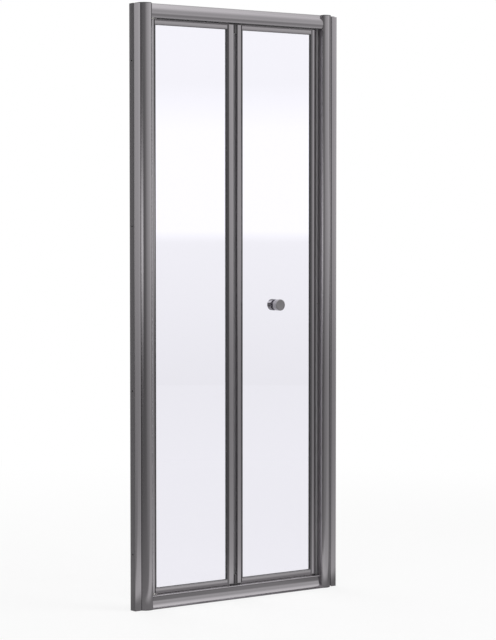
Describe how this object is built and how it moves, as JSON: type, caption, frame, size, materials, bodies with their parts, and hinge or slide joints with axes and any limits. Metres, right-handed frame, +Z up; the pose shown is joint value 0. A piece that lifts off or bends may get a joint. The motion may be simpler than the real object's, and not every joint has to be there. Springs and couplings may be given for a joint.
{
  "type": "bifold shower door",
  "caption": "Framed bifold shower door: two glass leaves on pins and hinge links fold inwards between two wall posts, with a round knob on each side.",
  "frame": {"origin": "midpoint of the sill's underside along the door, in the plane that the two leaves hang in", "axes": "+X along the door from the pivot post to the closing post, -Y to the outside, +Z up"},
  "size_m": [0.79, 0.0625, 1.85],
  "materials": {
    "dark_nickel": "polished aluminium plated dark nickel",
    "knob_nickel": "polished dark nickel plating",
    "stainless": "plain stainless steel",
    "dark_plastic": "moulded, fine matt",
    "nylon": "white acetal",
    "seal_rubber": "extruded soft seal",
    "magnet_strip": "extruded magnetic strip",
    "clear_plastic": "clear vinyl",
    "clear_glass": "clear toughened glass"
  },
  "bodies": {
    "frame": {"wall_channel_left": "dark_nickel", "wall_channel_right": "dark_nickel", "post_left": "dark_nickel", "post_right": "dark_nickel", "head_rail": "dark_nickel", "sill": "dark_nickel", "post_caps_left": "dark_plastic", "post_caps_right": "dark_plastic", "adjusting_screws": "stainless", "adjusting_screw_covers": "dark_plastic", "frame_corner_screws": "stainless", "pivot_block_top": "dark_plastic", "pivot_block_bottom": "dark_plastic", "pivot_block_screws": "stainless", "post_magnet_strip": "magnet_strip", "pivot_seal": "seal_rubber", "strip_screw": "stainless"},
    "pivot_leaf": {"pivot_stile": "dark_nickel", "fold_stile_a": "dark_nickel", "top_rail_a": "dark_nickel", "bottom_rail_a": "dark_nickel", "glass_a": "clear_glass", "glazing_seal_a": "seal_rubber", "drip_seal_a": "seal_rubber", "fold_lip_a": "seal_rubber", "pivot_plugs": "dark_plastic", "fold_plugs_a": "dark_plastic", "pivot_pin_top": "stainless", "pivot_pin_bottom": "stainless", "corner_screws_a": "stainless"},
    "hinge_links": {"hinge_link_top": "dark_nickel", "hinge_link_bottom": "dark_nickel", "hinge_pins_top": "stainless", "hinge_pins_bottom": "stainless"},
    "sliding_leaf": {"fold_stile_b": "dark_nickel", "closing_stile": "dark_nickel", "top_rail_b": "dark_nickel", "bottom_rail_b": "dark_nickel", "glass_b": "clear_glass", "glazing_seal_b": "seal_rubber", "drip_seal_b": "seal_rubber", "fold_lip_b": "seal_rubber", "fold_plugs_b": "dark_plastic", "closing_plugs": "dark_plastic", "leaf_magnet_strip": "magnet_strip", "knob_outer": "knob_nickel", "knob_inner": "knob_nickel", "knob_bolt": "stainless", "knob_washers": "clear_plastic", "roller_axle": "stainless", "guide_pin": "stainless", "corner_screws_b": "stainless"},
    "roller": {"track_roller": "nylon"},
    "shoe": {"guide_shoe": "nylon"}
  },
  "joints": [
    {"name": "fold", "type": "hinge", "parent": "frame", "child": "pivot_leaf", "pos_m": [-0.311, 0, 0], "axis": [0, 0, 1], "range_deg": [0, 84]},
    {"name": "link_turn", "type": "hinge", "parent": "pivot_leaf", "child": "hinge_links", "pos_m": [-0.0145, 0, 0], "axis": [0, 0, 1], "range_deg": [-84, 0]},
    {"name": "leaf_turn", "type": "hinge", "parent": "hinge_links", "child": "sliding_leaf", "pos_m": [0.018, 0, 0], "axis": [0, 0, 1], "range_deg": [-84, 0]},
    {"name": "roller_spin", "type": "hinge", "parent": "sliding_leaf", "child": "roller", "pos_m": [0.3145, 0, 1.811], "axis": [0, 0, 1], "continuous": true},
    {"name": "shoe_turn", "type": "hinge", "parent": "sliding_leaf", "child": "shoe", "pos_m": [0.3145, 0, 0.024], "axis": [0, 0, 1], "range_deg": [0, 84]}
  ],
  "couplings": [
    {"joint": "link_turn", "follows": "fold", "ratio": -1},
    {"joint": "leaf_turn", "follows": "fold", "ratio": -1},
    {"joint": "shoe_turn", "follows": "fold", "ratio": 1}
  ]
}
